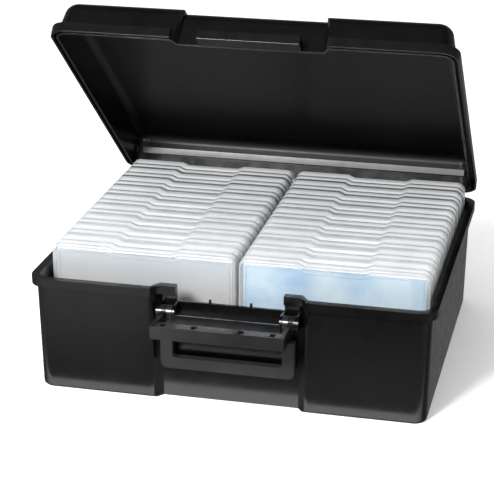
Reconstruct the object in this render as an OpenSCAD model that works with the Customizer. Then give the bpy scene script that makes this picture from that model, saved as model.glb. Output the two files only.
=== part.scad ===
// Carrying case for photo prints: a drafted tub with a hinged cover, a hooked latch flap
// and a bail handle, holding two rows of slim clear keepers, each with a stack of prints.
// Millimetres. The origin is at the middle of the tub's underside, +Z up, -Y to the front.

/* [Inner keepers] */
// Width of one keeper
keeper_w = 164.5; // [140:0.5:200]
// Height of one keeper, standing
keeper_h = 119; // [100:1:150]
// Thickness of one keeper
keeper_t = 27.2; // [20:0.2:40]
// Keepers in each row, front to back
keepers_per_row = 9; // [3:1:9]
// Wall of the keepers
keeper_wall = 1.3; // [1.1:0.1:1.6]
// Radius of a keeper's top corners
keeper_top_r = 8; // [5:0.5:12]
// Radius of a keeper's bottom corners
keeper_foot_r = 4; // [3:0.5:6]
// Depth of the cover half of a keeper
cover_depth = 12; // [8:0.5:15]
// Length of the neck that the cover half laps over
neck_length = 3; // [2:0.5:5]
// Wall of the neck
neck_wall = 0.7; // [0.6:0.1:1]
// Depth of the thumb dip in a keeper's top edge
dip_depth = 2.5; // [1:0.5:4]
// Width of the thumb dip, top to top
dip_w = 62; // [30:1:80]
// Length of the slope at each end of the thumb dip
dip_slope = 6; // [3:0.5:10]
// Side gap between the prints and the tray's rounded top corners
print_gap = 0.7; // [0.3:0.1:5]

/* [Spaces round the keepers] */
// Gap between neighbouring keepers in a row
keeper_gap = 0.3; // [0.3:0.1:1]
// Gap between the two rows
row_gap = 1.6; // [1:0.2:4]
// Gap between a row and the tub's side at the floor
side_gap = 0.8; // [0.6:0.1:3]
// Free space behind the rows
back_slack = 5; // [3:0.5:15]
// Free space in front of the rows
front_slack = 30; // [24:1:60]
// How far the keepers stand proud of the tub's rim
keeper_proud = 19; // [15:0.5:22]
// Free height over the keepers under the closed cover
head_room = 13.6; // [12:0.2:20]

/* [Tub] */
// Wall of the tub
tub_wall = 2.4; // [1.8:0.1:3]
// Floor of the tub
tub_floor = 2.7; // [2:0.1:4]
// Draft of each side over the tub's height
draft = 2; // [1:0.5:4]
// Radius round the tub's foot
foot_r = 3; // [2:0.5:5]
// Overhang of the rims beyond the walls
rim_out = 4.5; // [4:0.5:7]
// Height of the tub's rim band
rim_h = 7.5; // [6:0.5:10]
// Thickness of the rim's flange and skirt
rim_skin = 2; // [1.6:0.1:2.2]
// Outer corner radius of both rims
rim_r = 16; // [14:1:22]

/* [Front bay] */
// Half width of the bay's back wall
bay_half = 59; // [57:0.5:66]
// How far each side of the bay slants outwards
bay_slant = 8; // [4:0.5:10]
// Depth of the bay at the rim
bay_depth = 10; // [9:0.5:12]
// How far the rim stops short of the bay's sides
ear_inset = 1.5; // [1:0.5:3]
// How far the rim's ends slant outwards
ear_slant = 5.5; // [4:0.5:6]
// Half width of the lowered middle of the bay's wall
dip_half = 46.5; // [40:0.5:48]
// Drop of the lowered middle below the rim
dip_drop = 14.5; // [12:0.5:18]
// Distance of the two nubs from the middle
nub_x = 17.7; // [10:0.1:30]
// Width of a nub
nub_w = 2; // [1:0.5:4]
// Height of a nub
nub_h = 3.5; // [2:0.5:5]

/* [Cover] */
// Wall of the cover
lid_wall = 2.2; // [1.8:0.1:2.6]
// Draft of the cover's sides
lid_draft = 3; // [2:0.5:3]
// Radius round the cover's top
lid_round = 10; // [8:0.5:11]
// Height of the cover's rim band
lid_rim_h = 8.5; // [7:0.5:9]
// Half width of the cover's bay at its back wall
lid_bay_half = 62; // [61.5:0.5:66]
// How far each side of the cover's bay slants outwards
lid_bay_slant = 5; // [3:0.5:8]
// Depth of the cover's bay
lid_bay_depth = 8.5; // [7:0.5:10]
// Half width of the catch shelf
catch_half = 44; // [30:1:46]
// Gap between the two rims when the case is shut
part_gap = 0.3; // [0.3:0.1:0.6]
// Angle of the cover above shut, as it stands
lid_open = 40.5; // [20:0.5:60]

/* [Cover hinge] */
// Distance of each hinge from the middle
hinge_x = 100; // [70:1:120]
// Radius of the hinge knuckles
hinge_r = 4; // [3.5:0.1:4.2]
// Gap between the hinge knuckles and the rims that swing past them
hinge_rim_gap = 0.6; // [0.5:0.1:1]
// Radius of the hinge pins
hinge_pin_r = 1.5; // [1:0.1:2]
// Half width of the cover's knuckle
hinge_knuckle_half = 12; // [8:0.5:16]
// Width of each of the tub's two lugs
hinge_lug_w = 11.6; // [6:0.2:14]

/* [Latch and handle] */
// Distance of the front pivots in front of the bay's wall
pivot_out = 9.5; // [9:0.1:11]
// Distance of the front pivots below the top of the bay's lowered wall
pivot_drop = 6.5; // [6:0.5:10]
// Radius of the lugs and knuckles
pivot_r = 6; // [5:0.5:6.5]
// Radius of the front pins
pivot_pin_r = 1.5; // [1:0.1:2]
// Inner face of the inner lugs, from the middle
lug_x = 45; // [44.5:0.1:46]
// Width of an inner lug
inner_lug_w = 2; // [1.6:0.1:2.4]
// Width of an outer lug
outer_lug_w = 2.5; // [2:0.1:3]
// Side gap between neighbouring knuckles
knuckle_gap = 0.4; // [0.3:0.1:0.6]
// Width of a handle knuckle
handle_knuckle_w = 4.8; // [4:0.1:6]
// Width of a flap knuckle
flap_knuckle_w = 5.4; // [4:0.1:6]
// Width of the handle's legs
leg_w = 10.4; // [9:0.1:11]
// Thickness of the handle
handle_t = 7; // [5:0.5:7]
// Distance from the pivots to the handle's outer edge
handle_reach = 50; // [45:1:54]
// Width of the handle's grip bar
grip_w = 10; // [8:0.5:12]
// Outer corner radius of the handle
handle_r = 6; // [4:0.5:8]
// Inner corner radius of the handle
handle_inner_r = 2.5; // [1:0.5:4]
// Distance from the pivots to the handle's shoulders
shoulder_reach = 17; // [16.5:0.5:20]
// Distance of the flap's underside below the pivots
flap_drop = 8.6; // [8.4:0.1:9]
// Thickness of the flap
flap_t = 2.4; // [2:0.1:3]
// Width of the flap's side arms
arm_w = 3.8; // [3:0.1:4.5]
// How far each arm's heel lies behind the front of its knuckle
arm_heel = 1; // [0:0.5:3]
// Distance from the pivots to the flap's rear wall
flap_rear = 7; // [7:0.5:9]
// Height of the flap's rear wall above the pivots
flap_rear_rise = 1; // [0:0.5:2]
// Distance from the pivots to the flap's edge beside the handle's legs
flap_notch = 14; // [14:0.5:15]
// Length of the flap's hooked lip
lip_length = 10; // [8:0.5:12]
// Height of the lip above the pivots
lip_rise = 3; // [1:0.5:3]
// Height of the step along the lip's lower edge
lip_step = 3.4; // [2.6:0.1:4]
// Depth of the step along the lip's lower edge
lip_step_in = 1; // [0.5:0.1:2]
// Distance of the inner core slots in the lip from the middle
slot_inner_x = 20; // [10:1:30]
// Distance of the outer core slots from the middle
slot_outer_x = 46; // [36:1:47]
// Width of the core slots in the lip
slot_w = 4.5; // [3:0.5:6]
// Depth of the core slots
slot_depth = 6; // [3:0.5:7]

/* [Fits] */
// Radial clearance of a pin in a turning knuckle
running_gap = 0.05; // [0.02:0.01:0.1]
// Radial clearance of a pin in a fixed lug
seat_gap = 0.02; // [0.01:0.01:0.05]
// Clearance between parts that rest in or on each other
rest_gap = 0.3; // [0.3:0.05:0.6]
// Clearance between a keeper's neck and its cover half
lap_gap = 0.15; // [0.1:0.05:0.2]
// Clearance between the latch's hook and the catch shelf
hook_gap = 0.4; // [0.3:0.1:1]

/* [Hidden] */
ROWS = ["left", "right"];
PIECES = ["tray", "cover", "photos"];

$fn = 64;
hull_fn = 32;
eps = 0.01;
over = 1;
least_corner_r = 2;

// The keepers and the rows
pitch = keeper_t + keeper_gap;
rows_d = keepers_per_row * pitch - keeper_gap;
neck_inset = keeper_wall + lap_gap;
stack_inset = neck_inset + neck_wall + rest_gap;
stack_h = keeper_h - 2 * stack_inset - dip_depth;
neck_r = keeper_top_r - neck_inset - neck_wall;
stack_drop = rest_gap + dip_depth;
corner_space = neck_r - sqrt(max(0, pow(neck_r - rest_gap, 2) - pow(max(0, neck_r - stack_drop), 2)));
stack_w = keeper_w - 2 * (neck_inset + neck_wall + corner_space + print_gap);

// The tub
in_w = 2 * keeper_w + row_gap + 2 * side_gap;
in_d = rows_d + front_slack + back_slack;
foot_w = in_w + 2 * tub_wall;
foot_d = in_d + 2 * tub_wall;
body_w = foot_w + 2 * draft;
body_d = foot_d + 2 * draft;
case_w = body_w + 2 * rim_out;
case_d = body_d + 2 * rim_out;
body_r = rim_r - rim_out;
keeper_z = tub_floor + rest_gap;
keeper_top = keeper_z + keeper_h;
tub_h = keeper_top - keeper_proud;
rows_back = in_d / 2 - back_slack;

// The bay
bay_y = bay_depth - body_d / 2;
ear_half = bay_half + ear_inset;
dip_top = tub_h - dip_drop;

// The cover
lid_z = tub_h + part_gap;
lid_h = keeper_proud - part_gap + head_room + lid_wall;
lid_bay_y = lid_bay_depth - body_d / 2;
hinge_y = case_d / 2 + hinge_r + hinge_rim_gap;
hinge_z = tub_h;
hinge_half = hinge_knuckle_half + knuckle_gap + hinge_lug_w;

// The latch and the handle
pivot_y = bay_y - pivot_out;
pivot_z = dip_top - pivot_drop;
handle_knuckle_x = lug_x + inner_lug_w + knuckle_gap;
flap_knuckle_x = handle_knuckle_x + handle_knuckle_w + knuckle_gap;
outer_lug_x = flap_knuckle_x + flap_knuckle_w + knuckle_gap;
front_pin_end = outer_lug_x + outer_lug_w;
flap_half = flap_knuckle_x + arm_w;
flap_inner_half = handle_knuckle_x - 2 * knuckle_gap;
handle_half = handle_knuckle_x + leg_w;
lip_reach = lid_z + lid_rim_h + hook_gap - pivot_z;
slot_x = [slot_inner_x, slot_outer_x];
arc_steps = 4;

// A rounded rectangle, centred
module plate(w, d, r) {
  square([w - 2 * r, d], center = true);
  square([w, d - 2 * r], center = true);
  for (x = [-1, 1], y = [-1, 1]) translate([x * (w / 2 - r), y * (d / 2 - r)]) circle(r);
}

// One thin layer of a hulled form
module layer(z, inset, w, d, r) {
  translate([0, 0, z]) linear_extrude(eps)
    plate(w - 2 * inset, d - 2 * inset, max(r - inset, least_corner_r), $fn = hull_fn);
}

// Extrudes a drawing in Y and Z along X, from x for a length
module along_x(x, length) {
  translate([x, 0, 0]) rotate([90, 0, 90]) linear_extrude(length) children();
}

// Extrudes a drawing in X and Z along Y, from y for a length
module along_y(y, length) {
  translate([0, y + length, 0]) rotate([90, 0, 0]) linear_extrude(length) children();
}

// The same thing on both sides of the middle
module both_sides() {
  children();
  mirror([1, 0, 0]) children();
}

// Plan of a front bay, open to the front
module bay_plan(half, slant, back_y) {
  front_y = -case_d / 2 - over;
  side_y = -body_d / 2;
  polygon([
    [-half, back_y], [half, back_y], [half + slant, side_y], [half + slant, front_y],
    [-half - slant, front_y], [-half - slant, side_y]
  ]);
}

// The tub's drafted form with its rounded foot, smaller all round by an inset
module tub_form(inset, floor_z, top_z) {
  hull() {
    for (i = [0 : arc_steps]) {
      angle = 90 * i / arc_steps;
      layer(floor_z + foot_r * (1 - cos(angle)), draft + inset + foot_r * (1 - sin(angle)),
        body_w, body_d, body_r);
    }
    layer(top_z, inset, body_w, body_d, body_r);
  }
}

// Down-turned rim: a flange with a skirt round its edge, open below
module rim_band(height) {
  linear_extrude(height) difference() {
    plate(case_w, case_d, rim_r);
    plate(case_w - 2 * rim_skin, case_d - 2 * rim_skin, rim_r - rim_skin);
  }
  translate([0, 0, height - rim_skin]) linear_extrude(rim_skin) plate(case_w, case_d, rim_r);
}

// The tub's outside, with its rim and its bay
module tub_outside() {
  difference() {
    union() {
      tub_form(0, 0, tub_h - eps);
      translate([0, 0, tub_h - rim_h]) rim_band(rim_h);
    }
    translate([0, 0, -over]) linear_extrude(tub_h - rim_h + over) bay_plan(bay_half, bay_slant, bay_y);
    translate([0, 0, tub_h - rim_h - eps]) linear_extrude(rim_h + over)
      bay_plan(ear_half, ear_slant, bay_y - rim_out);
  }
  // The ears' backing under the rim, closed down to the bay's wall
  translate([0, 0, tub_h - rim_h]) linear_extrude(rim_h) difference() {
    translate([-ear_half - ear_slant - over, bay_y - rim_out])
      square([2 * (ear_half + ear_slant + over), rim_out + tub_wall]);
    bay_plan(ear_half, ear_slant, bay_y - rim_out);
  }
}

// The tub's inside, which bends round the bay
module tub_inside() {
  difference() {
    tub_form(tub_wall, tub_floor, tub_h + eps);
    linear_extrude(tub_h + over) bay_plan(bay_half + tub_wall, bay_slant, bay_y + tub_wall);
  }
  translate([0, 0, tub_h - eps]) linear_extrude(over) difference() {
    plate(body_w - 2 * tub_wall, body_d - 2 * tub_wall, body_r - tub_wall);
    bay_plan(bay_half + tub_wall, bay_slant, bay_y + tub_wall);
  }
}

// A round lug on the bay's wall, with its web
module front_lug(x, w) {
  along_x(x, w) {
    translate([pivot_y, pivot_z]) circle(pivot_r);
    translate([pivot_y, pivot_z - pivot_r]) square([bay_y - pivot_y + tub_wall / 2, 2 * pivot_r]);
  }
}

// A hinge knuckle with a web that runs forwards to a rim, above or below the hinge line
module hinge_knuckle(x, w, web_z, web_h) {
  along_x(x, w) {
    translate([hinge_y, hinge_z]) circle(hinge_r);
    translate([case_d / 2 - rim_skin, web_z]) square([hinge_y - case_d / 2 + rim_skin, web_h]);
  }
}

// A bore along X
module bore_x(x, length, r, y, z) {
  translate([x, y, z]) rotate([0, 90, 0]) cylinder(r = r, h = length);
}

module base_shell() {
  hinge_lugs = [-hinge_half, hinge_knuckle_half + knuckle_gap];
  color("#26272a") difference() {
    union() {
      difference() {
        tub_outside();
        tub_inside();
        // The lowered middle of the bay's wall
        translate([-dip_half, -case_d / 2 - over, dip_top])
          cube([2 * dip_half, case_d / 2 + over + bay_y + tub_wall + over, dip_drop + over]);
      }
      both_sides() {
        front_lug(lug_x, inner_lug_w);
        front_lug(outer_lug_x, outer_lug_w);
        translate([nub_x - nub_w / 2, bay_y, dip_top - eps]) cube([nub_w, tub_wall, nub_h + eps]);
        for (x = hinge_lugs)
          hinge_knuckle(hinge_x + x, hinge_lug_w, hinge_z - hinge_r, hinge_r);
      }
    }
    both_sides() {
      bore_x(lug_x - over, front_pin_end - lug_x + 2 * over, pivot_pin_r + seat_gap, pivot_y, pivot_z);
      bore_x(hinge_x - hinge_half - over, 2 * (hinge_half + over), hinge_pin_r + seat_gap, hinge_y, hinge_z);
    }
  }
}

// Turns the shut cover up to the angle at which it stands
module stand_open() {
  translate([0, hinge_y, hinge_z]) rotate([-lid_open, 0, 0]) translate([0, -hinge_y, -hinge_z])
    children();
}

// The cover's rounded form, smaller all round by an inset
module lid_form(inset, from_z) {
  round_r = lid_round - inset;
  arc_z = lid_z + lid_h - lid_round;
  hull() {
    layer(from_z, inset, body_w, body_d, body_r);
    for (i = [0 : arc_steps]) {
      angle = 90 * i / arc_steps;
      layer(arc_z + round_r * sin(angle) - eps, inset + lid_draft + round_r * (1 - cos(angle)),
        body_w, body_d, body_r);
    }
  }
}

// The upright block of space in which the cover's front is set back
module lid_bay_block(inset) {
  reach = 3 * lid_bay_depth;
  translate([0, 0, lid_z - 2 * over]) linear_extrude(lid_h + 4 * over) {
    bay_plan(lid_bay_half + inset, lid_bay_slant, lid_bay_y);
    translate([-lid_bay_half - inset, lid_bay_y - eps]) square([2 * (lid_bay_half + inset), reach]);
  }
}

// The cover's form with its bay: the outside at no inset, the inside at the wall's
module lid_bayed_form(inset, from_z) {
  difference() {
    lid_form(inset, from_z);
    lid_bay_block(inset);
  }
  intersection() {
    translate([0, lid_bay_depth, 0]) lid_form(inset, from_z);
    lid_bay_block(inset);
  }
}

// The shelf that the latch hooks over, hollow below
module catch_shelf() {
  depth = lid_bay_y + case_d / 2;
  translate([-catch_half, -case_d / 2, lid_z]) difference() {
    cube([2 * catch_half, depth + lid_wall / 2, lid_rim_h]);
    translate([rim_skin, rim_skin, -over])
      cube([2 * (catch_half - rim_skin), depth - rim_skin, lid_rim_h - rim_skin + over]);
  }
}

module lid_shell() {
  color("#232427") stand_open() difference() {
    union() {
      lid_bayed_form(0, lid_z);
      difference() {
        translate([0, 0, lid_z]) rim_band(lid_rim_h);
        lid_bay_block(0);
      }
      catch_shelf();
      both_sides()
        hinge_knuckle(hinge_x - hinge_knuckle_half, 2 * hinge_knuckle_half, lid_z, hinge_r - part_gap);
    }
    lid_bayed_form(lid_wall, lid_z - over);
    both_sides() bore_x(hinge_x - hinge_half, 2 * hinge_half, hinge_pin_r + running_gap, hinge_y, hinge_z);
  }
}

module lid_hinge_pins() {
  color("#8d9094") both_sides()
    bore_x(hinge_x - hinge_half, 2 * hinge_half, hinge_pin_r, hinge_y, hinge_z);
}

module front_pins() {
  color("#8d9094") both_sides()
    bore_x(lug_x, front_pin_end - lug_x, pivot_pin_r, pivot_y, pivot_z);
}

// Side view of the latch flap's arms, forwards and upwards from the pivots
module flap_side() {
  translate([pivot_y, pivot_z]) {
    circle(pivot_r);
    polygon([
      [0, lip_rise], [-lip_reach - lip_length, lip_rise], [-lip_reach - lip_length, -flap_drop + lip_step],
      [-lip_reach - lip_length + lip_step_in, -flap_drop], [arm_heel - pivot_r, -flap_drop], [0, -pivot_r]
    ]);
  }
}

// Plan of the flap's plate: cut back beside the handle's legs
module flap_plan() {
  front = pivot_y - lip_reach - lip_length + lip_step_in;
  translate([-flap_half, front]) square([2 * flap_half, pivot_y - flap_notch - front]);
  translate([-flap_inner_half, front]) square([2 * flap_inner_half, pivot_y - flap_rear - front]);
}

module latch_flap() {
  lip_front = pivot_y - lip_reach - lip_length;
  lip_under = pivot_z - flap_drop + lip_step;
  lip_top = pivot_z + lip_rise;
  rear_top = pivot_z + flap_rear_rise;
  color("#2b2c2f") difference() {
    union() {
      translate([0, 0, pivot_z - flap_drop]) linear_extrude(flap_t) flap_plan();
      // Rear wall of the tray
      translate([-flap_inner_half, pivot_y - flap_rear - rim_skin, pivot_z - flap_drop])
        cube([2 * flap_inner_half, rim_skin, rear_top - pivot_z + flap_drop]);
      // Hooked lip, with its lower edge set back
      translate([-flap_half, lip_front, lip_under])
        cube([2 * flap_half, lip_length, lip_top - lip_under]);
      translate([-flap_half, lip_front + lip_step_in, pivot_z - flap_drop])
        cube([2 * flap_half, lip_length - lip_step_in, lip_step]);
      both_sides() {
        along_x(flap_knuckle_x, arm_w) flap_side();
        along_x(flap_knuckle_x, flap_knuckle_w) translate([pivot_y, pivot_z]) circle(pivot_r);
      }
    }
    both_sides() {
      bore_x(flap_knuckle_x - over, flap_knuckle_w + 2 * over, pivot_pin_r + running_gap, pivot_y, pivot_z);
      for (x = slot_x)
        translate([x - slot_w / 2, lip_front + rim_skin, lip_top - slot_depth])
          cube([slot_w, lip_length - 2 * rim_skin, slot_depth + over]);
    }
  }
}

module carry_handle() {
  grip_z = pivot_z - handle_reach;
  shoulder_z = pivot_z - shoulder_reach;
  inner_half = handle_half - leg_w;
  color("#2b2c2f") difference() {
    union() {
      along_y(pivot_y - handle_t / 2, handle_t) difference() {
        union() {
          translate([-handle_half, grip_z + handle_r])
            square([2 * handle_half, shoulder_z - grip_z - handle_r]);
          translate([-handle_half + handle_r, grip_z]) square([2 * (handle_half - handle_r), handle_r + eps]);
          for (x = [-1, 1]) translate([x * (handle_half - handle_r), grip_z + handle_r]) circle(handle_r);
          for (x = [handle_knuckle_x, -handle_knuckle_x - handle_knuckle_w])
            translate([x, shoulder_z - over]) square([handle_knuckle_w, shoulder_reach + over]);
        }
        translate([-inner_half, grip_z + grip_w + handle_inner_r])
          square([2 * inner_half, handle_reach]);
        translate([-inner_half + handle_inner_r, grip_z + grip_w])
          square([2 * (inner_half - handle_inner_r), handle_reach]);
        for (x = [-1, 1])
          translate([x * (inner_half - handle_inner_r), grip_z + grip_w + handle_inner_r])
            circle(handle_inner_r);
      }
      both_sides() along_x(handle_knuckle_x, handle_knuckle_w)
        translate([pivot_y, pivot_z]) circle(pivot_r);
    }
    both_sides() bore_x(handle_knuckle_x - over, handle_knuckle_w + 2 * over,
      pivot_pin_r + running_gap, pivot_y, pivot_z);
  }
}

// Front view of a keeper, inset all round, with the thumb dip in its top edge
module keeper_outline(inset) {
  half = keeper_w / 2 - inset;
  top = keeper_h - inset;
  top_r = keeper_top_r - inset;
  low_r = max(keeper_foot_r - inset, 0.5);
  difference() {
    union() {
      translate([-half, inset + low_r]) square([2 * half, top - inset - low_r - top_r]);
      translate([-half + top_r, top - top_r - eps]) square([2 * (half - top_r), top_r + eps]);
      translate([-half + low_r, inset]) square([2 * (half - low_r), low_r + eps]);
      for (x = [-1, 1]) {
        translate([x * (half - top_r), top - top_r]) circle(top_r);
        translate([x * (half - low_r), inset + low_r]) circle(low_r);
      }
    }
    polygon([
      [-dip_w / 2, top + over], [dip_w / 2, top + over], [dip_w / 2, top],
      [dip_w / 2 - dip_slope, top - dip_depth], [dip_slope - dip_w / 2, top - dip_depth], [-dip_w / 2, top]
    ]);
  }
}

// Puts a keeper's piece at its place in a row: n counts from the front
module in_row(row, n) {
  side = row == ROWS[0] ? -1 : 1;
  y = rows_back - keeper_t / 2 - (keepers_per_row - n) * pitch;
  translate([side * (keeper_w + row_gap) / 2, y, keeper_z]) children();
}

// Rear half of a keeper, with the neck in front
module tray() {
  back = keeper_t / 2;
  lap_y = cover_depth - back + rest_gap;
  color("#e9edf2") difference() {
    union() {
      along_y(lap_y, back - lap_y) keeper_outline(0);
      along_y(lap_y - neck_length, neck_length + over) keeper_outline(neck_inset);
    }
    along_y(lap_y - neck_length - over, back - lap_y + neck_length - keeper_wall + over)
      keeper_outline(neck_inset + neck_wall);
  }
}

// Front half of a keeper, which laps over the neck
module cover() {
  front = -keeper_t / 2;
  color("#eef2f6") difference() {
    along_y(front, cover_depth) keeper_outline(0);
    along_y(front + keeper_wall, cover_depth) keeper_outline(keeper_wall);
  }
}

// The stack of prints inside a keeper
module photos() {
  depth = keeper_t - 2 * (keeper_wall + rest_gap);
  color("#cfe0ee") translate([-stack_w / 2, -depth / 2, stack_inset]) cube([stack_w, depth, stack_h]);
}

base_shell();
lid_shell();
lid_hinge_pins();
front_pins();
latch_flap();
carry_handle();
for (row = ROWS, n = [1 : keepers_per_row]) {
  in_row(row, n) tray();
  in_row(row, n) cover();
  in_row(row, n) photos();
}
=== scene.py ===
"""Photo keeper case: a black tub with a hinged cover, a hooked latch flap and a bail handle,
holding two rows of clear keepers, each with a stack of prints. The case's values are in
millimetres, and the studio's are in metres."""
import math
import random

import bmesh
import bpy
from mathutils import Matrix, Vector


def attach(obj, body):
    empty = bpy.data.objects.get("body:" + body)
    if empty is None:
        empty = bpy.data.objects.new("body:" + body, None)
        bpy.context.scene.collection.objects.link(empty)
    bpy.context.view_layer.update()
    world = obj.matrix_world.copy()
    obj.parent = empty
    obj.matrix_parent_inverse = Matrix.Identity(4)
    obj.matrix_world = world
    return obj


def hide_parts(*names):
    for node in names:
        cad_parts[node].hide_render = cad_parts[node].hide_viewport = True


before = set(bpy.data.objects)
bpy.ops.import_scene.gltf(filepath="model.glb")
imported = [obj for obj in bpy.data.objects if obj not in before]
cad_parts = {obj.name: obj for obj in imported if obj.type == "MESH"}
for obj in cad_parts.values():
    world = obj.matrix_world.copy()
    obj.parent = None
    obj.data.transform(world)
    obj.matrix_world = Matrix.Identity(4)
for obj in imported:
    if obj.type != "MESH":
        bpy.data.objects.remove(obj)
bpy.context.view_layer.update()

MM = 0.001
Y, Z = 1, 2         # where a point's list of coordinates holds them
OVER = 1            # how far a cutter or a joined block reaches past a face
HAIR = 0.01         # places closer than this count as the same
MERGE = 0.02        # points closer than this are merged
FLAT_ANGLE = 0.5    # seams flatter than this are cleared, in degrees
SMOOTH_ANGLE = 35   # flatter edges than this are shaded smooth, in degrees
SHARP_ANGLE = 40    # sharper edges than this are softened, in degrees
ALONG_SLACK, UPRIGHT_SLACK = 0.05, 0.1    # 1 less the cosine of the most that an edge may lean
PIN_SIDES, BORE_SIDES = 48, 32

# How many flat steps make up each rounding
CORNER_STEPS, FOOT_STEPS, BAY_STEPS, LID_STEPS = 8, 5, 5, 7
HANDLE_STEPS, WINDOW_STEPS = 6, 4
KEEPER_TOP_STEPS, KEEPER_FOOT_STEPS, KEEPER_RIM_STEPS = 7, 4, 4
EDGE_STEPS, FINE_STEPS = 3, 2

# Keepers
ROWS = {"left": -1, "right": 1}
KEEPERS_PER_ROW = 9
KEEPER_W, KEEPER_H, KEEPER_T = 164.5, 119, 27.2
KEEPER_TOP_R, KEEPER_FOOT_R, LEAST_FOOT_R = 8, 4, 0.5
KEEPER_WALL, NECK_WALL, NECK_INSET = 1.3, 0.7, 1.45
COVER_DEPTH, NECK_LENGTH, REST_GAP = 12, 3, 0.3
DIP_W, DIP_DEPTH, DIP_SLOPE = 62, 2.5, 6
PITCH, ROW_GAP, KEEPER_Z, ROWS_BACK = 27.5, 1.6, 3, 136.1
PANEL_BORDER, PANEL_DEPTH = 4.2, 0.35
KEEPER_EDGE_R, LAP_EDGE_R, LAP_STEP_W, LAP_STEP_IN = 2.4, 0.35, 2.4, 0.5
LAP_SHARP_ANGLE, LAP_SLACK, RIM_FACING = 50, 0.05, (0.15, 0.985)
STACK_W, STACK_D, STACK_H, STACK_Z = 156.37, 24, 111.6, 2.45
SHEETS, SHEET_SLIP, SHEET_GAP, SHEET_SEED = 20, 0.3, 0.06, 7
PICTURE_FACING, PICTURE_SLACK = -0.9, 0.1

# Tub
BODY_W, BODY_D, BODY_R = 341, 291, 11.5
CASE_W, CASE_D, RIM_R = 350, 300, 16
TUB_H, TUB_WALL, TUB_FLOOR, DRAFT, FOOT_R = 103, 2.4, 2.7, 2, 3
RIM_H, RIM_SKIN, CASE_EDGE_R = 7.5, 2, 0.9
BAY_HALF, BAY_SLANT, BAY_Y, BAY_EDGE_R = 59, 8, -135.5, 3.5
BAY_CORNER_X, BAY_CORNER_Y, BAY_CORNER_SLACK = (64, 68), -142, 0.02
EAR_HALF, EAR_SLANT, EAR_Y = 60.5, 5.5, -140
LOW_HALF, LOW_TOP = 46.5, 88.5
NUB_X, NUB_W, NUB_H, NUB_INSET, NUB_EDGE_R = 17.7, 2, 3.5, 0.2, 0.4

# Cover, as it is shut
LID_Z, LID_H, LID_WALL, LID_DRAFT, LID_ROUND = 103.3, 34.5, 2.2, 3, 10
LID_RIM_H, LID_BAY_HALF, LID_BAY_SLANT, LID_BAY_Y, LID_BAY_DEPTH = 8.5, 62, 5, -137, 8.5
CATCH_HALF, CATCH_EDGE_R = 44, 0.6
LEDGE_Z, LEDGE_H, LEDGE_HALF, LEDGE_EDGE_R = 116.5, 6, 161.5, 0.4
LEDGE_FOOT_Y, LEDGE_TOP_Y, LEDGE_BACK_Y = 139.9, 137.65, 142.5
LID_OPEN = math.radians(40.5)
HOLLOW_MARGIN, HOLLOW_FOOT, CEILING_SLACK, OVER_LEDGE, SHELF_SLACK = 2, 3, 0.3, 0.5, 0.1
FACES_DOWN, FACES_FORWARD = -0.5, -0.1

# Cover hinge
HINGE_X, HINGE_Y, HINGE_Z, HINGE_R, HINGE_BORE_R = 100, 154.6, 103, 4, 1.53
KNUCKLE_HALF, LUG_GAP, HINGE_LUG_W, HINGE_EDGE_R = 12, 0.4, 11.6, 0.3

# Latch and handle
PIVOT_Y, PIVOT_Z, PIVOT_R, PIVOT_BORE_R = -145, 82, 6, 1.54
INNER_LUG, OUTER_LUG, LUG_EDGE_R = (45, 47), (58.4, 60.9), 0.35
HANDLE_KNUCKLE, FLAP_KNUCKLE = (47.4, 52.2), (52.6, 58.0)
HANDLE_HALF, LEG_W, HANDLE_T, GRIP_Z, GRIP_W = 57.8, 10.4, 7, 32, 10
HANDLE_R, HANDLE_INNER_R, HANDLE_EDGE_R = 6, 2.5, 0.8
SHOULDER_Z, WINDOW_TOP = 65, 105
FLAP_HALF, FLAP_INNER_HALF, FLAP_Z, FLAP_T = 56.4, 46.6, 73.4, 2.4
FLAP_HEEL, FLAP_EDGE_R = 7, 0.6
LIP_FRONT, LIP_BACK, LIP_TOP, LIP_STEP_Z, LIP_STEP_IN = -185.2, -175.2, 85, 76.8, 1
FLAP_NOTCH_Y, FLAP_REAR_Y, FLAP_WALL_TOP = -159, -152, 83
SLOT_X, SLOT_W, SLOT_DEPTH = (20, 46), 4.5, 6


# ---- Modelling, as by hand ----

def deselect():
    for obj in list(bpy.context.selected_objects):
        obj.select_set(False)


def activate(obj):
    """Leaves only this object selected, and makes it the active one."""
    deselect()
    obj.select_set(True)
    bpy.context.view_layer.objects.active = obj


def apply_place(obj):
    activate(obj)
    bpy.ops.object.transform_apply(location=True, rotation=True, scale=True)


def block(name, low, high):
    """A cube between two corners."""
    deselect()
    centre = [(a + b) / 2 * MM for a, b in zip(low, high)]
    bpy.ops.mesh.primitive_cube_add(size=1, location=centre)
    obj = bpy.context.object
    obj.name = name
    bpy.ops.transform.resize(value=[(b - a) * MM for a, b in zip(low, high)])
    apply_place(obj)
    return obj


def rod(name, x0, x1, y, z, radius, sides=PIN_SIDES):
    """A cylinder along X."""
    deselect()
    centre = ((x0 + x1) / 2 * MM, y * MM, z * MM)
    bpy.ops.mesh.primitive_cylinder_add(radius=radius * MM, depth=(x1 - x0) * MM, vertices=sides,
                                        location=centre, rotation=(0, math.pi / 2, 0))
    obj = bpy.context.object
    obj.name = name
    apply_place(obj)
    return obj


def edit_all(obj, *steps):
    """Selects the whole mesh, in edit mode, and works on it."""
    activate(obj)
    bpy.ops.object.mode_set(mode="EDIT")
    bpy.ops.mesh.select_all(action="SELECT")
    for step in steps:
        step()
    bpy.ops.object.mode_set(mode="OBJECT")


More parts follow.
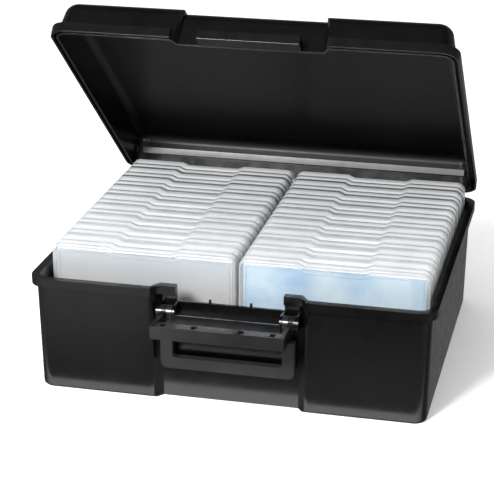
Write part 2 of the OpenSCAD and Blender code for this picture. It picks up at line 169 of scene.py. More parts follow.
def edit_some(obj, kind, wanted, *steps):
    """Selects the edges or faces that are wanted, in edit mode, and works on them."""
    activate(obj)
    bpy.ops.object.mode_set(mode="EDIT")
    bpy.ops.mesh.select_mode(type="EDGE" if kind == "edges" else "FACE")
    bpy.ops.mesh.select_all(action="DESELECT")
    mesh = bmesh.from_edit_mesh(obj.data)
    for item in getattr(mesh, kind):
        if wanted(item):
            item.select_set(True)
    bmesh.update_edit_mesh(obj.data)
    for step in steps:
        step()
    bpy.ops.object.mode_set(mode="OBJECT")


def ends(edge):
    return [vert.co / MM for vert in edge.verts]


def runs_along(edge, axis, slack=ALONG_SLACK):
    a, b = ends(edge)
    return abs((b - a).normalized()[axis]) > 1 - slack


def lies_at(axis, place):
    """Tells edges or faces that lie at a place on an axis from the others."""
    return lambda item: all(abs(vert.co[axis] / MM - place) < HAIR for vert in item.verts)


def along_y_at(height):
    """Tells edges that run along Y at a height from the others."""
    at_height = lies_at(Z, height)
    return lambda edge: runs_along(edge, Y) and at_height(edge)


def upright(edge):
    return runs_along(edge, Z, UPRIGHT_SLACK)


def round_edges(obj, wanted, radius, steps):
    edit_some(obj, "edges", wanted, lambda: bpy.ops.mesh.bevel(
        offset=radius * MM, segments=steps, affect="EDGES", profile=0.5))


def scale_face(obj, axis, place, factors):
    """Scales the face that lies at a place on an axis."""
    edit_some(obj, "faces", lies_at(axis, place), lambda: bpy.ops.transform.resize(value=factors))


def extrude_face(obj, axis, place, length):
    """Draws the face that lies at a place on an axis out along it."""
    move = [0, 0, 0]
    move[axis] = length * MM
    edit_some(obj, "faces", lies_at(axis, place), lambda: bpy.ops.mesh.extrude_region_move(
        TRANSFORM_OT_translate={"value": move}))


def combine(target, others, operation):
    """Joins other solids to a target, or cuts them from it."""
    for other in others:
        cut = target.modifiers.new(operation.lower(), "BOOLEAN")
        cut.operation = operation
        cut.solver = "MANIFOLD"
        cut.object = other
        activate(target)
        bpy.ops.object.modifier_apply(modifier=cut.name)
        bpy.data.objects.remove(other)
    return target


def merge_points():
    bpy.ops.mesh.remove_doubles(threshold=MERGE * MM)


def clear_seams(obj):
    """Merges the doubled points and clears the flat seams that the cuts leave."""
    edit_all(obj, merge_points,
             lambda: bpy.ops.mesh.dissolve_limited(angle_limit=math.radians(FLAT_ANGLE)))


def soften(obj, width, steps=EDGE_STEPS, least_angle=SHARP_ANGLE):
    """Rounds the sharp edges, as a mould leaves them. Faces with hollow outlines are split first,
    because the rounding can fold them over."""
    edit_all(obj, merge_points, bpy.ops.mesh.vert_connect_concave)
    bevel = obj.modifiers.new("softened edges", "BEVEL")
    bevel.width = width * MM
    bevel.segments = steps
    bevel.limit_method = "ANGLE"
    bevel.angle_limit = math.radians(least_angle)
    bevel.miter_outer = "MITER_ARC"
    activate(obj)
    bpy.ops.object.modifier_apply(modifier=bevel.name)
    return obj


def smooth(obj):
    """Shades the rounded faces smooth, and keeps the flat ones flat."""
    activate(obj)
    bpy.ops.object.shade_smooth_by_angle(angle=math.radians(SMOOTH_ANGLE))
    weighted = obj.modifiers.new("flat faces stay flat", "WEIGHTED_NORMAL")
    weighted.keep_sharp = True
    bpy.ops.object.modifier_apply(modifier=weighted.name)
    return obj


def copy_of(obj, name):
    other = obj.copy()
    other.data = obj.data.copy()
    other.name = name
    bpy.context.collection.objects.link(other)
    return other


def both_sides(obj):
    """A piece, and its mirror image on the other side of the middle."""
    other = copy_of(obj, obj.name + "_right")
    other.scale = (-1, 1, 1)
    apply_place(other)
    edit_all(other, lambda: bpy.ops.mesh.normals_make_consistent(inside=False))
    return [obj, other]


def rounded_plate(name, width, depth, radius, z0, z1):
    """A plate with round corners, lying flat round the middle."""
    plate = block(name, (-width / 2, -depth / 2, z0), (width / 2, depth / 2, z1))
    round_edges(plate, upright, radius, CORNER_STEPS)
    return plate


def bay_block(name, half, slant, back_y, z0, z1):
    """The space of a front bay: straight at its back, with slanting sides."""
    wide = half + slant
    space = block(name, (-wide, -BODY_D / 2, z0), (wide, back_y, z1))
    scale_face(space, Y, back_y, (half / wide, 1, 1))
    extrude_face(space, Y, -BODY_D / 2, -(CASE_D - BODY_D) / 2 - OVER)
    return space


# ---- Tub ----

def tub_form(name, inset, floor_z, top_z):
    """The tub's drafted form with its round foot, smaller all round by an inset."""
    width, depth = BODY_W - 2 * inset, BODY_D - 2 * inset
    form = block(name, (-width / 2, -depth / 2, floor_z), (width / 2, depth / 2, top_z))
    scale_face(form, Z, floor_z, ((width - 2 * DRAFT) / width, (depth - 2 * DRAFT) / depth, 1))
    round_edges(form, upright, BODY_R - inset, CORNER_STEPS)
    round_edges(form, lies_at(Z, floor_z), FOOT_R, FOOT_STEPS)
    return form


def rim_band(name, z, height):
    """A down-turned rim: a flange with a skirt round its edge, open below."""
    band = rounded_plate(name, CASE_W, CASE_D, RIM_R, z, z + height)
    below = rounded_plate("below", CASE_W - 2 * RIM_SKIN, CASE_D - 2 * RIM_SKIN, RIM_R - RIM_SKIN,
                          z - OVER, z + height - RIM_SKIN)
    return combine(band, [below], "DIFFERENCE")


def hinge_knuckle(name, x0, x1, web_z0, web_z1):
    """A barrel of the cover's hinge, with the web that carries it."""
    knuckle = rod(name, x0, x1, HINGE_Y, HINGE_Z, HINGE_R)
    web = block("web", (x0, CASE_D / 2 - RIM_SKIN, web_z0), (x1, HINGE_Y, web_z1))
    combine(knuckle, [web], "UNION")
    return soften(knuckle, HINGE_EDGE_R, FINE_STEPS)


def front_lug(x0, x1):
    """A lug in the bay that carries the pin of the latch and the handle."""
    lug = rod("lug", x0, x1, PIVOT_Y, PIVOT_Z, PIVOT_R)
    web = block("web", (x0, PIVOT_Y, PIVOT_Z - PIVOT_R),
                (x1, BAY_Y + TUB_WALL / 2, PIVOT_Z + PIVOT_R))
    combine(lug, [web], "UNION")
    return soften(lug, LUG_EDGE_R, FINE_STEPS)


def bores(x0, x1, y, z, radius):
    """The cutters for the same pin's holes on both sides."""
    return both_sides(rod("bore", x0 - OVER, x1 + OVER, y, z, radius, BORE_SIDES))


def bay_corner(edge):
    """Tells the bay's front corners from the tub's other edges."""
    low, high = BAY_CORNER_X
    return runs_along(edge, Z, BAY_CORNER_SLACK) and all(
        low < abs(end.x) < high and end.y < BAY_CORNER_Y for end in ends(edge))


def tub_outside():
    """The drafted tub with its front bay."""
    tub = tub_form("case_tub", 0, 0, TUB_H)
    combine(tub, [bay_block("bay", BAY_HALF, BAY_SLANT, BAY_Y, -OVER, TUB_H + OVER)], "DIFFERENCE")
    clear_seams(tub)
    round_edges(tub, bay_corner, BAY_EDGE_R, BAY_STEPS)
    return tub


def add_rim(tub):
    """Adds the rim, and the ears beside the bay."""
    rim_z = TUB_H - RIM_H
    backing = block("ear_backing", (-BAY_HALF - BAY_SLANT, EAR_Y, rim_z),
                    (BAY_HALF + BAY_SLANT, BAY_Y + TUB_WALL, TUB_H))
    combine(tub, [rim_band("rim", rim_z, RIM_H), backing], "UNION")
    space = bay_block("ear_space", EAR_HALF, EAR_SLANT, EAR_Y, rim_z - HAIR, TUB_H + OVER)
    combine(tub, [space], "DIFFERENCE")


def hollow_out(tub):
    """Cuts the tub's inside, and the lowered middle of its front wall."""
    inside = tub_form("inside", TUB_WALL, TUB_FLOOR, TUB_H + OVER)
    bay = bay_block("bay", BAY_HALF + TUB_WALL, BAY_SLANT, BAY_Y + TUB_WALL, 0, TUB_H + 2 * OVER)
    combine(inside, [bay], "DIFFERENCE")
    low = block("low_middle", (-LOW_HALF, -CASE_D / 2 - OVER, LOW_TOP),
                (LOW_HALF, BAY_Y + TUB_WALL + OVER, TUB_H + OVER))
    combine(tub, [inside, low], "DIFFERENCE")


def make_nub():
    """One of the two small nubs on the lowered middle."""
    nub = block("nub", (NUB_X - NUB_W / 2, BAY_Y + NUB_INSET, LOW_TOP - OVER),
                (NUB_X + NUB_W / 2, BAY_Y + TUB_WALL - NUB_INSET, LOW_TOP + NUB_H))
    return soften(nub, NUB_EDGE_R, FINE_STEPS)


def make_tub():
    tub = tub_outside()
    add_rim(tub)
    hollow_out(tub)
    soften(tub, CASE_EDGE_R)
    extras = both_sides(make_nub())
    for x0, x1 in (INNER_LUG, OUTER_LUG):
        extras += both_sides(front_lug(x0, x1))
    inner = KNUCKLE_HALF + LUG_GAP
    outer = inner + HINGE_LUG_W
    for x0, x1 in ((HINGE_X - outer, HINGE_X - inner), (HINGE_X + inner, HINGE_X + outer)):
        extras += both_sides(hinge_knuckle("hinge_lug", x0, x1, HINGE_Z - HINGE_R, HINGE_Z))
    combine(tub, extras, "UNION")
    holes = bores(INNER_LUG[0], OUTER_LUG[1], PIVOT_Y, PIVOT_Z, PIVOT_BORE_R)
    holes += bores(HINGE_X - outer, HINGE_X + outer, HINGE_Y, HINGE_Z, HINGE_BORE_R)
    combine(tub, holes, "DIFFERENCE")
    return smooth(tub)


# ---- Cover ----

def lid_form(name, inset, from_z):
    """The cover's rounded form, smaller all round by an inset."""
    width, depth = BODY_W - 2 * inset, BODY_D - 2 * inset
    top = LID_Z + LID_H - inset
    drawn_in = LID_DRAFT * (top - from_z) / (LID_H - LID_ROUND)
    form = block(name, (-width / 2, -depth / 2, from_z), (width / 2, depth / 2, top))
    scale_face(form, Z, top, ((width - 2 * drawn_in) / width, (depth - 2 * drawn_in) / depth, 1))
    round_edges(form, upright, BODY_R - inset, CORNER_STEPS)
    round_edges(form, lies_at(Z, top), LID_ROUND - inset, LID_STEPS)
    return form


def lid_bay_block(inset):
    """The upright block of space in which the cover's front is set back."""
    space = bay_block("bay", LID_BAY_HALF + inset, LID_BAY_SLANT, LID_BAY_Y,
                      LID_Z - 2 * OVER, LID_Z + LID_H + 2 * OVER)
    extrude_face(space, Y, LID_BAY_Y, 3 * LID_BAY_DEPTH)
    return space


def lid_bayed_form(name, inset, from_z):
    """The cover's form, with the part of its front in the bay set back."""
    form = lid_form(name, inset, from_z)
    combine(form, [lid_bay_block(inset)], "DIFFERENCE")
    set_back = lid_form("set_back", inset, from_z)
    set_back.location.y = LID_BAY_DEPTH * MM
    apply_place(set_back)
    combine(set_back, [lid_bay_block(inset)], "INTERSECT")
    return combine(form, [set_back], "UNION")


def make_catch_shelf():
    """The shelf that the latch hooks over."""
    shelf = block("catch_shelf", (-CATCH_HALF, -CASE_D / 2, LID_Z),
                  (CATCH_HALF, LID_BAY_Y + LID_WALL / 2, LID_Z + LID_RIM_H))
    return soften(shelf, CATCH_EDGE_R)


def make_ledge():
    """The sloping stiffener along the cover's rear wall."""
    ledge = block("ledge", (-LEDGE_HALF, LEDGE_FOOT_Y, LEDGE_Z),
                  (LEDGE_HALF, LEDGE_BACK_Y, LEDGE_Z + LEDGE_H))
    in_front, on_top = lies_at(Y, LEDGE_FOOT_Y), lies_at(Z, LEDGE_Z + LEDGE_H)
    move = (0, (LEDGE_TOP_Y - LEDGE_FOOT_Y) * MM, 0)
    edit_some(ledge, "edges", lambda edge: in_front(edge) and on_top(edge),
              lambda: bpy.ops.transform.translate(value=move))
    return soften(ledge, LEDGE_EDGE_R, FINE_STEPS)


def make_lid():
    lid = lid_bayed_form("case_cover", 0, LID_Z)
    rim = rim_band("rim", LID_Z, LID_RIM_H)
    combine(rim, [lid_bay_block(0)], "DIFFERENCE")
    combine(lid, [rim], "UNION")
    combine(lid, [lid_bayed_form("inside", LID_WALL, LID_Z - OVER)], "DIFFERENCE")
    soften(lid, CASE_EDGE_R)
    x0, x1 = HINGE_X - KNUCKLE_HALF, HINGE_X + KNUCKLE_HALF
    knuckle = hinge_knuckle("hinge_knuckle", x0, x1, LID_Z, HINGE_Z + HINGE_R)
    combine(lid, [make_catch_shelf(), make_ledge()] + both_sides(knuckle), "UNION")
    combine(lid, bores(x0, x1, HINGE_Y, HINGE_Z, HINGE_BORE_R), "DIFFERENCE")
    return smooth(lid)


def inner_face(face):
    """Tells the shut cover's ceiling, its rear wall above the ledge and the underside of its catch
    shelf from its other faces."""
    centre, normal = face.center / MM, face.normal
    x, y, z = abs(centre.x), centre.y, centre.z
    ceiling = LID_Z + LID_H - LID_WALL + CEILING_SLACK
    over_ledge = (x < LEDGE_HALF and y > LEDGE_TOP_Y
                  and LEDGE_Z + LEDGE_H + OVER_LEDGE < z < ceiling)
    under_shelf = x < CATCH_HALF and y < LID_BAY_Y and z < LID_Z + SHELF_SLACK
    in_hollow = (x < BODY_W / 2 - HOLLOW_MARGIN and abs(y) < BODY_D / 2 - HOLLOW_MARGIN
                 and LID_Z + HOLLOW_FOOT < z < ceiling)
    return (over_ledge and normal.y < FACES_FORWARD
            or (under_shelf or in_hollow) and normal.z < FACES_DOWN)


def stand_open(lid):
    """Turns the shut cover up to the angle at which it stands."""
    edit_all(lid, lambda: bpy.ops.transform.rotate(
        value=LID_OPEN, orient_axis="X", center_override=(0, HINGE_Y * MM, HINGE_Z * MM)))


# ---- Latch and handle ----

def make_lip():
    """The hooked lip's upper bar, and its foot set back below a step."""
    return [block("lip", (-FLAP_HALF, LIP_FRONT, LIP_STEP_Z), (FLAP_HALF, LIP_BACK, LIP_TOP)),
            block("lip_foot", (-FLAP_HALF, LIP_FRONT + LIP_STEP_IN, FLAP_Z),
                  (FLAP_HALF, LIP_BACK, LIP_STEP_Z + OVER))]


def make_arm():
    """A side arm of the flap, with its heel cut off below the pivot."""
    arm = block("arm", (FLAP_KNUCKLE[0], LIP_BACK - OVER, FLAP_Z), (FLAP_HALF, PIVOT_Y, LIP_TOP))
    behind, below = lies_at(Y, PIVOT_Y), lies_at(Z, FLAP_Z)
    round_edges(arm, lambda edge: behind(edge) and below(edge), FLAP_HEEL, 1)
    return arm


def make_slots():
    """The cutters for the pockets in the lip's top."""
    slots = []
    for x in SLOT_X:
        low = (x - SLOT_W / 2, LIP_FRONT + RIM_SKIN, LIP_TOP - SLOT_DEPTH)
        high = (x + SLOT_W / 2, LIP_BACK - RIM_SKIN, LIP_TOP + OVER)
        slots += both_sides(block("slot", low, high))
    return slots


def make_flap():
    flap = block("latch_flap_body", (-FLAP_HALF, LIP_FRONT + LIP_STEP_IN, FLAP_Z),
                 (FLAP_HALF, FLAP_NOTCH_Y, FLAP_Z + FLAP_T))
    tongue = block("tongue", (-FLAP_INNER_HALF, FLAP_NOTCH_Y - 2 * OVER, FLAP_Z),
                   (FLAP_INNER_HALF, FLAP_REAR_Y, FLAP_Z + FLAP_T))
    rear_wall = block("rear_wall", (-FLAP_INNER_HALF, FLAP_REAR_Y - RIM_SKIN, FLAP_Z),
                      (FLAP_INNER_HALF, FLAP_REAR_Y, FLAP_WALL_TOP))
    knuckle = rod("knuckle", *FLAP_KNUCKLE, PIVOT_Y, PIVOT_Z, PIVOT_R)
    combine(flap, [tongue, rear_wall] + make_lip() + both_sides(make_arm()) + both_sides(knuckle),
            "UNION")
    combine(flap, make_slots(), "DIFFERENCE")
    soften(flap, FLAP_EDGE_R)
    combine(flap, bores(*FLAP_KNUCKLE, PIVOT_Y, PIVOT_Z, PIVOT_BORE_R), "DIFFERENCE")
    return smooth(flap)


def make_handle():
    front, back = PIVOT_Y - HANDLE_T / 2, PIVOT_Y + HANDLE_T / 2
    inner_half, grip_top = HANDLE_HALF - LEG_W, GRIP_Z + GRIP_W
    handle = block("bail_handle", (-HANDLE_HALF, front, GRIP_Z), (HANDLE_HALF, back, SHOULDER_Z))
    round_edges(handle, along_y_at(GRIP_Z), HANDLE_R, HANDLE_STEPS)
    window = block("window", (-inner_half, front - OVER, grip_top),
                   (inner_half, back + OVER, WINDOW_TOP))
    round_edges(window, along_y_at(grip_top), HANDLE_INNER_R, WINDOW_STEPS)
    combine(handle, [window], "DIFFERENCE")
    x0, x1 = HANDLE_KNUCKLE
    leg = block("leg", (x0, front, SHOULDER_Z - OVER), (x1, back, PIVOT_Z))
    knuckle = rod("knuckle", x0, x1, PIVOT_Y, PIVOT_Z, PIVOT_R)
    combine(handle, both_sides(leg) + both_sides(knuckle), "UNION")
    soften(handle, HANDLE_EDGE_R)
    combine(handle, bores(x0, x1, PIVOT_Y, PIVOT_Z, PIVOT_BORE_R), "DIFFERENCE")
    return smooth(handle)


# ---- Keepers ----

def keeper_slab(name, inset, y0, y1):
    """A keeper's outline, smaller all round by an inset, with the thumb dip in its top edge."""
    half, top = KEEPER_W / 2 - inset, KEEPER_H - inset
    slab = block(name, (-half, y0, inset), (half, y1, top))
    round_edges(slab, along_y_at(top), KEEPER_TOP_R - inset, KEEPER_TOP_STEPS)
    round_edges(slab, along_y_at(inset), max(KEEPER_FOOT_R - inset, LEAST_FOOT_R),
                KEEPER_FOOT_STEPS)
    dip = block("dip", (-DIP_W / 2, y0 - OVER, top - DIP_DEPTH), (DIP_W / 2, y1 + OVER, top))
    scale_face(dip, Z, top - DIP_DEPTH, ((DIP_W - 2 * DIP_SLOPE) / DIP_W, 1, 1))
    extrude_face(dip, Z, top, OVER)
    return combine(slab, [dip], "DIFFERENCE")


def mould_wide_face(obj, y):
    """Rounds the edge of a keeper's wide face, and sinks the face inside a border."""
    clear_seams(obj)
    round_edges(obj, lies_at(Y, y), KEEPER_EDGE_R, KEEPER_RIM_STEPS)
    edit_some(obj, "faces", lies_at(Y, y),
              lambda: bpy.ops.mesh.inset(thickness=PANEL_BORDER * MM, depth=0),
              lambda: bpy.ops.mesh.inset(thickness=PANEL_DEPTH * MM, depth=-PANEL_DEPTH * MM))


def make_keeper_cover():
    front = -KEEPER_T / 2
    back = front + COVER_DEPTH
    cover = keeper_slab("keeper_cover", 0, front, back - LAP_STEP_W)
    mould_wide_face(cover, front)
    combine(cover, [keeper_slab("lap_step", LAP_STEP_IN, back - LAP_STEP_W - OVER, back)], "UNION")
    hollow = keeper_slab("hollow", KEEPER_WALL, front + KEEPER_WALL, back + OVER)
    combine(cover, [hollow], "DIFFERENCE")
    return smooth(soften(cover, LAP_EDGE_R, FINE_STEPS, LAP_SHARP_ANGLE))


def make_keeper_tray():
    back = KEEPER_T / 2
    lap_y = COVER_DEPTH - back + REST_GAP
    neck_y = lap_y - NECK_LENGTH
    tray = keeper_slab("keeper_tray", 0, lap_y, back)
    mould_wide_face(tray, back)
    combine(tray, [keeper_slab("neck", NECK_INSET, neck_y, lap_y + OVER)], "UNION")
    hollow = keeper_slab("hollow", NECK_INSET + NECK_WALL, neck_y - OVER, back - KEEPER_WALL)
    combine(tray, [hollow], "DIFFERENCE")
    return smooth(soften(tray, LAP_EDGE_R, FINE_STEPS, LAP_SHARP_ANGLE))


def painted_shade_rim_face(face):
    """Tells a keeper's rounded edges, and the step at its lap, from its flat faces; these take the
    grey of the painted shade in the grooves between keepers.
    """
    y, facing = face.center.y / MM, abs(face.normal.y)
    lap_y = COVER_DEPTH - KEEPER_T / 2
    low, high = RIM_FACING
    rounded = abs(abs(y) - KEEPER_T / 2) < KEEPER_EDGE_R and low < facing < high
    return rounded or lap_y - LAP_STEP_W - LAP_SLACK < y < lap_y + REST_GAP + LAP_EDGE_R


def make_stack(name, draw):
    """A stack of prints, each sheet a hair out of line with the next."""
    sheet_t = STACK_D / SHEETS
    sheets = []
    for n in range(SHEETS):
        y0 = -STACK_D / 2 + n * sheet_t
        left, right, top = (draw.uniform(0, SHEET_SLIP) for _ in range(3))
        low = (-STACK_W / 2 + left, y0, STACK_Z)
        high = (STACK_W / 2 - right, y0 + sheet_t - SHEET_GAP, STACK_Z + STACK_H - top)
        sheets.append(block(name, low, high))
    deselect()
    for sheet in sheets:
        sheet.select_set(True)
    bpy.context.view_layer.objects.active = sheets[0]
    bpy.ops.object.join()
    stack = bpy.context.object
    stack.data.name = name
    return stack


def front_print(face):
    """Tells the face of the front print from a stack's other faces."""
    at_front = abs(face.center.y / MM + STACK_D / 2) < PICTURE_SLACK
    return at_front and face.normal.y < PICTURE_FACING


def keeper_place(side, n):
    y = ROWS_BACK - KEEPER_T / 2 - (KEEPERS_PER_ROW - n) * PITCH
    return Vector((side * (KEEPER_W + ROW_GAP) / 2, y, KEEPER_Z)) * MM


def put(obj, place):
    obj.location = place
    apply_place(obj)


# ---- Finishes ----

# Noise patterns, each with its scale and detail
CLOUDS, GLOSS_PATCHES, GRAIN = (22, 3), (90, 4), (1400, 2)
STEEL_STREAKS, STEEL_PATCHES = (300, 4), (700, 3)
CLEAR_CLOUDS, CLEAR_PATCHES = (40, 3), (120, 3)
PAPER_FIBRES, SKY_CLOUDS, FLOOR_CLOUDS = (500, 4), (26, 5), (3, 2)
NOISE_SPAN = (0.3, 0.7)     # the part of a pattern's values that is used
TONE_SPAN = (0.35, 0.65)    # where one tone ends and the other one starts

# Places in metres, colours and gloss
GRAIN_DEPTH = 0.0002
# The first span is where the keepers' painted light and shade runs from the front of the case to
# the back, in metres
PAINTED_SHADING_Y, CLEAR_ROUGHNESS, CLEAR_GLOSS, CLEAR_BLEND = (-0.12, 0.14), (0.08, 0.2), 0.4, 0.35
STEEL_TONES, STEEL_ROUGHNESS = ((0.5, 0.51, 0.53), (0.66, 0.67, 0.69)), (0.2, 0.36)
PAPER_TONES, PAPER_ROUGHNESS = ((0.76, 0.78, 0.79), (0.80, 0.82, 0.83)), 0.55
SKY_TONES, PRINT_ROUGHNESS = ((0.09, 0.21, 0.33), (0.265, 0.35, 0.40)), 0.3
MIST_Z, MIST_STOPS = (0.085, 0.117), ((0.1, (0.185, 0.176, 0.17)), (0.95, (0.19, 0.225, 0.245)))
FLOOR_TONES, FLOOR_ROUGHNESS = ((0.90, 0.90, 0.90), (0.92, 0.92, 0.92)), 0.9


def new_finish(name):
    mat = bpy.data.materials.new(name)
    mat.use_nodes = True
    return mat, mat.node_tree, mat.node_tree.nodes["Principled BSDF"]


def set_inputs(node, values):
    for name, value in values.items():
        node.inputs[name].default_value = value


def object_coords(tree):
    return tree.nodes.new("ShaderNodeTexCoord").outputs["Object"]


def part_of(tree, coords, axis):
    """One of a place's three coordinates."""
    split = tree.nodes.new("ShaderNodeSeparateXYZ")
    tree.links.new(coords, split.inputs["Vector"])
    return split.outputs[axis]


def noise(tree, coords, pattern):
    node = tree.nodes.new("ShaderNodeTexNoise")
    set_inputs(node, {"Scale": pattern[0], "Detail": pattern[1]})
    tree.links.new(coords, node.inputs["Vector"])
    return node.outputs["Fac"]


def map_range(tree, value, source, target, style="LINEAR"):
    """Maps a value from one span to another."""
    node = tree.nodes.new("ShaderNodeMapRange")
    node.interpolation_type = style
    set_inputs(node, {"From Min": source[0], "From Max": source[1],
                      "To Min": target[0], "To Max": target[1]})
    tree.links.new(value, node.inputs["Value"])
    return node.outputs["Result"]


def ease(tree, value, source, target):
    """Goes smoothly from one number to another between two places."""
    return map_range(tree, value, source, target, "SMOOTHSTEP")


def colour_ramp(tree, value, *stops):
    """Runs through two colours, each given with its place from 0 to 1."""
    ramp = tree.nodes.new("ShaderNodeValToRGB")
    for element, (place, colour) in zip(ramp.color_ramp.elements, stops):
        element.position, element.color = place, (*colour, 1)
    tree.links.new(value, ramp.inputs["Fac"])
    return ramp.outputs["Color"]


def cloudy(tree, coords, pattern, first, second):
    """A cloudy pattern of two tones."""
    return colour_ramp(tree, noise(tree, coords, pattern),
                       (TONE_SPAN[0], first), (TONE_SPAN[1], second))


def uneven(tree, coords, pattern, span):
    """A number that wanders between two others."""
    return map_range(tree, noise(tree, coords, pattern), NOISE_SPAN, span)


def moulded_plastic(name, dark, light, roughness, gloss, grain=0.03):
    """Moulded plastic: faint cloudy colour, uneven gloss and a fine grain."""
    mat, tree, shader = new_finish(name)
    coords = object_coords(tree)
    tree.links.new(cloudy(tree, coords, CLOUDS, dark, light), shader.inputs["Base Color"])
    tree.links.new(uneven(tree, coords, GLOSS_PATCHES, roughness), shader.inputs["Roughness"])
    bump = tree.nodes.new("ShaderNodeBump")
    set_inputs(bump, {"Strength": grain, "Distance": GRAIN_DEPTH})
    tree.links.new(noise(tree, coords, GRAIN), bump.inputs["Height"])
    tree.links.new(bump.outputs["Normal"], shader.inputs["Normal"])
    set_inputs(shader, {"Specular IOR Level": gloss})
    return mat


def drawn_steel(name):
    mat, tree, shader = new_finish(name)
    coords = object_coords(tree)
    tree.links.new(cloudy(tree, coords, STEEL_STREAKS, *STEEL_TONES), shader.inputs["Base Color"])
    tree.links.new(uneven(tree, coords, STEEL_PATCHES, STEEL_ROUGHNESS), shader.inputs["Roughness"])
    set_inputs(shader, {"Metallic": 1})
    return mat


def clear_plastic(name, first, second, opacity, brightness):
    """Clear moulded plastic: see-through face on, whiter at a glancing angle. Its opacity goes
    from face on to glancing, and a painted light and shade scales its colour from the front of the
    case to the back."""
    mat, tree, shader = new_finish(name)
    coords = object_coords(tree)
    shade = tree.nodes.new("ShaderNodeMix")
    shade.data_type, shade.blend_type = "RGBA", "MULTIPLY"
    set_inputs(shade, {"Factor": 1})
    tree.links.new(cloudy(tree, coords, CLEAR_CLOUDS, first, second), shade.inputs["A"])
    # Painted light and shade: the colour is scaled from the front of the case to the back
    tree.links.new(ease(tree, part_of(tree, coords, "Y"), PAINTED_SHADING_Y, brightness), shade.inputs["B"])
    tree.links.new(shade.outputs["Result"], shader.inputs["Base Color"])
    tree.links.new(uneven(tree, coords, CLEAR_PATCHES, CLEAR_ROUGHNESS), shader.inputs["Roughness"])
    facing = tree.nodes.new("ShaderNodeLayerWeight")
    set_inputs(facing, {"Blend": CLEAR_BLEND})
    tree.links.new(map_range(tree, facing.outputs["Facing"], (0, 1), opacity),
                   shader.inputs["Alpha"])
    set_inputs(shader, {"Specular IOR Level": CLEAR_GLOSS})
    return mat


def paper(name):
    """The cut white edges of a stack of coated paper."""
    mat, tree, shader = new_finish(name)
    tree.links.new(cloudy(tree, object_coords(tree), PAPER_FIBRES, *PAPER_TONES),
                   shader.inputs["Base Color"])
    set_inputs(shader, {"Roughness": PAPER_ROUGHNESS})
    return mat


def misty_print(name):
    """A plain misty picture: pale blue-grey above, warm grey below."""
    mat, tree, shader = new_finish(name)
    height = map_range(tree, part_of(tree, object_coords(tree), "Z"), MIST_Z, (0, 1))
    tree.links.new(colour_ramp(tree, height, *MIST_STOPS), shader.inputs["Base Color"])
    set_inputs(shader, {"Roughness": PRINT_ROUGHNESS})
    return mat


def sky_print(name):
    """A plain picture of a blue sky with soft clouds."""
    mat, tree, shader = new_finish(name)
    tree.links.new(cloudy(tree, object_coords(tree), SKY_CLOUDS, *SKY_TONES),
                   shader.inputs["Base Color"])
    set_inputs(shader, {"Roughness": PRINT_ROUGHNESS})
    return mat


FINISHES = {
    "tub": moulded_plastic("black_plastic_tub", dark=(0.0012, 0.0012, 0.0014),
                           light=(0.002, 0.002, 0.0022), roughness=(0.16, 0.26), gloss=0.35),
    "cover": moulded_plastic("black_plastic_cover", dark=(0.0016, 0.0016, 0.0018),
                             light=(0.0026, 0.0026, 0.003), roughness=(0.15, 0.24), gloss=0.35),
    "inside": moulded_plastic("black_plastic_cover_inside", dark=(0.002, 0.002, 0.0022),
                              light=(0.003, 0.003, 0.0033), roughness=(0.3, 0.36), gloss=0.12,
                              grain=0.01),
    "latch": moulded_plastic("black_plastic_latch", dark=(0.006, 0.006, 0.0065),
                             light=(0.009, 0.009, 0.0095), roughness=(0.13, 0.2), gloss=0.45),
    "handle": moulded_plastic("black_plastic_handle", dark=(0.010, 0.010, 0.0105),
                              light=(0.014, 0.014, 0.0145), roughness=(0.18, 0.26), gloss=0.5),
    "pin_black": moulded_plastic("black_plastic_pins", dark=(0.02, 0.02, 0.021),
                                 light=(0.03, 0.03, 0.031), roughness=(0.2, 0.3), gloss=0.5),
    "steel": drawn_steel("drawn_steel_pins"),
    # The keepers' plastic is painted a little lighter towards the back, standing in for light
    "clear": clear_plastic("clear_plastic_keepers", (0.80, 0.82, 0.84), (0.86, 0.88, 0.89),
                           opacity=(0.05, 0.8), brightness=(0.94, 1)),
    # The keepers' edges are painted grey for the shade in the grooves between keepers, and painted
    # much darker towards the back for the shade under the open cover
    "clear_edge_painted_shade": clear_plastic("clear_plastic_edges_painted_shade", (0.30, 0.31, 0.32), (0.38, 0.39, 0.40),
                                opacity=(0.75, 0.92), brightness=(0.85, 0.05)),
    "paper": paper("print_paper"),
    "misty": misty_print("print_misty"),
    "sky": sky_print("print_sky"),
}


def finish(obj, *names):
    obj.data.materials.clear()
    for name in names:
        obj.data.materials.append(FINISHES[name])


def give_second_finish(obj, wanted):
    """Gives the faces that are wanted the second of a piece's finishes."""
    for face in obj.data.polygons:
        if wanted(face):
            face.material_index = 1


def dress(obj, body, slot, *replaced):
    """Says what a piece moves with, and hides the nodes that it stands for. Its slot, what it is
    made of, is not used.
    """
    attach(obj, body)
    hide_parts(*replaced)


def build_case():
    tub, lid, flap, handle = make_tub(), make_lid(), make_flap(), make_handle()
    finish(tub, "tub")
    finish(lid, "cover", "inside")
    finish(flap, "latch")
    finish(handle, "handle")
    give_second_finish(lid, inner_face)
    stand_open(lid)
    dress(tub, "base", "tub_plastic", "base_shell")
    dress(lid, "lid", "cover_plastic", "lid_shell")
    dress(flap, "latch", "latch_plastic", "latch_flap")
    dress(handle, "handle", "handle_plastic", "carry_handle")
    for node, name in (("front_pins", "pin_black"), ("lid_hinge_pins", "steel")):
        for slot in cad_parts[node].material_slots:
            slot.material = FINISHES[name]


def finish_stack(stack, side, n):
    """Finishes a stack, with a picture on the front print of the first keeper in each row."""
    if n > 1:
        finish(stack, "paper")
        return
    finish(stack, "paper", "misty" if side < 0 else "sky")
    give_second_finish(stack, front_print)


